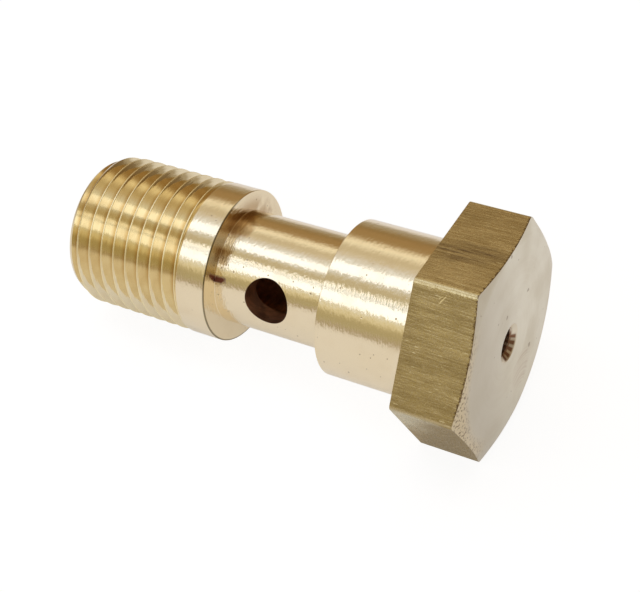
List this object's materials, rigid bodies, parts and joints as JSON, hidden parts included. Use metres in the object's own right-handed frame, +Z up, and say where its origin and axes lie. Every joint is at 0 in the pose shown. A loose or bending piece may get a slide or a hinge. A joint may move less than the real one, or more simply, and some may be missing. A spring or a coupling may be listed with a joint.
{
  "type": "banjo bolt",
  "caption": "Banjo bolt: hexagonal head with a centre hole, plain journal, narrow neck with a cross hole into a blind axial bore, plain land and a parallel pipe thread.",
  "frame": {"origin": "under the middle of the object, on the surface that it lies on", "axes": "+Z up; +X from the threaded end towards the head, level; the bolt's own axis rises towards the head by 4.06 degrees, because a flat of the head and the thread's last crest touch the surface"},
  "size_m": [0.0288, 0.015, 0.0133],
  "materials": {
    "brass": "bright turned brass, with a duller drawn finish on the hexagon"
  },
  "bodies": {
    "root": {"banjo_bolt": "brass"}
  },
  "joints": []
}
